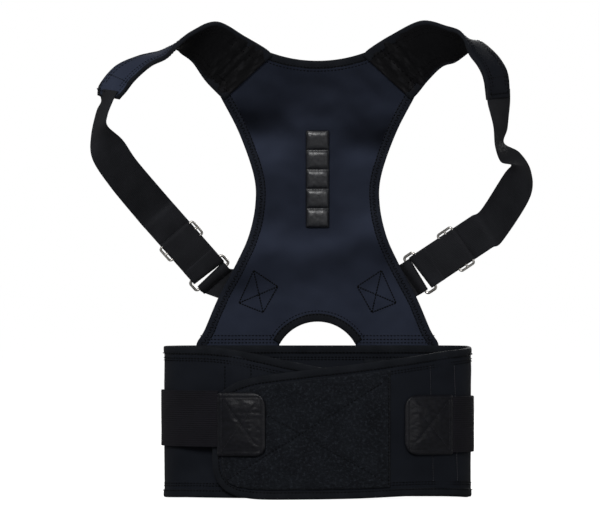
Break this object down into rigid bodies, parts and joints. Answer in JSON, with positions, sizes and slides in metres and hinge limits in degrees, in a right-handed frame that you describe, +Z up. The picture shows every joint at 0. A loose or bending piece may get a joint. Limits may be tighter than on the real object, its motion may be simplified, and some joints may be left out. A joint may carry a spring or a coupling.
{
  "type": "back brace",
  "caption": "Posture back brace: neoprene back panel, wrap-round waist belt with side pull straps, and two adjustable shoulder straps.",
  "frame": {"origin": "middle of the rear belt's bottom edge, halfway through its thickness", "axes": "+Z up along the back panel, -Y towards the wearer's front where the belt closes, +X to the right of someone looking at that front"},
  "size_m": [0.4617, 0.1293, 0.4992],
  "materials": {
    "neoprene": "knit-faced neoprene, near-black navy, faint sheen",
    "binding_tape": "black woven nylon binding tape",
    "loop_cloth": "brushed loop pile, dark, slightly fuzzy",
    "hook_tape": "moulded nylon hook tape",
    "belt_elastic": "wide elastic, ribbed across its length",
    "shoulder_elastic": "38 mm woven elastic webbing",
    "leatherette": "semi-gloss black leatherette",
    "plated_wire": "bright nickel-plated steel wire",
    "spring_steel": "flat spring steel",
    "magnet": "nickel-coated disc magnets"
  },
  "bodies": {
    "belt": {"belt_rear": "neoprene", "belt_rear_bottom_binding": "binding_tape", "belt_rear_top_binding": "binding_tape", "left_pull_strap_root": "belt_elastic", "rear_stay_channels": "binding_tape", "rear_stays": "spring_steel", "right_pull_strap_root": "belt_elastic"},
    "left_flap_body": {"left_flap": "neoprene", "left_flap_binding": "binding_tape", "left_loop_panel": "loop_cloth", "left_stay": "spring_steel", "left_stay_channel": "spring_steel"},
    "right_flap_body": {"right_flap": "neoprene", "right_flap_binding": "binding_tape", "right_hook_patch": "hook_tape", "right_loop_panel": "loop_cloth", "right_stay": "spring_steel", "right_stay_channel": "spring_steel"},
    "left_pull_body": {"left_pull_strap": "belt_elastic", "left_pull_tab": "leatherette", "left_tab_hook": "hook_tape"},
    "right_pull_body": {"right_pull_strap": "belt_elastic", "right_pull_tab": "leatherette", "right_tab_hook": "hook_tape"},
    "panel_body": {"back_panel": "neoprene", "back_panel_binding": "binding_tape", "left_anchor_webbing": "shoulder_elastic", "magnet_strip": "leatherette", "magnets": "magnet", "right_anchor_webbing": "shoulder_elastic"},
    "left_strap_body": {"left_anchor_loop": "shoulder_elastic", "left_elastic_strap": "shoulder_elastic", "left_shoulder_pad": "neoprene"},
    "right_strap_body": {"right_anchor_loop": "shoulder_elastic", "right_elastic_strap": "shoulder_elastic", "right_shoulder_pad": "neoprene"},
    "left_ring_body": {"left_ring": "plated_wire"},
    "right_ring_body": {"right_ring": "plated_wire"},
    "left_slide_body": {"left_slide": "plated_wire", "left_strap_end": "shoulder_elastic"},
    "right_slide_body": {"right_slide": "plated_wire", "right_strap_end": "shoulder_elastic"}
  },
  "joints": [
    {"name": "left_pull_release", "type": "hinge", "parent": "belt", "child": "left_pull_body", "pos_m": [-0.1643, -0.036, 0.08375], "axis": [0, 0, -1], "range_deg": [0, 150]},
    {"name": "right_flap_open", "type": "hinge", "parent": "belt", "child": "right_flap_body", "pos_m": [0.162, -0.036, 0.079], "axis": [0, 0, 1], "range_deg": [0, 33]},
    {"name": "left_flap_open", "type": "hinge", "parent": "belt", "child": "left_flap_body", "pos_m": [-0.162, -0.036, 0.079], "axis": [0, 0, -1], "range_deg": [0, 18]},
    {"name": "right_pull_release", "type": "hinge", "parent": "right_flap_body", "child": "right_pull_body", "pos_m": [0.1643, -0.036, 0.07725], "axis": [0, 0, 1], "range_deg": [0, 150]},
    {"name": "panel_fold", "type": "hinge", "parent": "belt", "child": "panel_body", "pos_m": [0, 0.005, 0.1593], "axis": [-1, 0, 0], "range_deg": [-30, 60], "stiffness_Nm_per_rad": 2},
    {"name": "left_strap_swing", "type": "hinge", "parent": "panel_body", "child": "left_strap_body", "pos_m": [-0.1105, 0.002, 0.231], "axis": [0.1419, -0.1205, 0.9825], "range_deg": [-30, 60], "stiffness_Nm_per_rad": 0.3},
    {"name": "left_ring_tilt", "type": "hinge", "parent": "left_strap_body", "child": "left_ring_body", "pos_m": [-0.1105, 0.002, 0.231], "axis": [0.7539, 0, 0.657], "range_deg": [-5, 5]},
    {"name": "left_length_adjust", "type": "slide", "parent": "left_strap_body", "child": "left_slide_body", "axis": [-0.6103, -0.3702, 0.7004], "range_m": [-0.005, 0.03]},
    {"name": "right_strap_swing", "type": "hinge", "parent": "panel_body", "child": "right_strap_body", "pos_m": [0.1035, 0.002, 0.232], "axis": [0.111, 0.1216, -0.9864], "range_deg": [-30, 60], "stiffness_Nm_per_rad": 0.3},
    {"name": "right_ring_tilt", "type": "hinge", "parent": "right_strap_body", "child": "right_ring_body", "pos_m": [0.1035, 0.002, 0.232], "axis": [0.5576, 0, -0.8301], "range_deg": [-5, 5]},
    {"name": "right_length_adjust", "type": "slide", "parent": "right_strap_body", "child": "right_slide_body", "axis": [0.7806, -0.3402, 0.5244], "range_m": [-0.005, 0.03]}
  ],
  "couplings": [
    {"joint": "right_flap_open", "follows": "left_pull_release", "ratio": 0.22},
    {"joint": "left_flap_open", "follows": "left_pull_release", "ratio": 0.12}
  ]
}
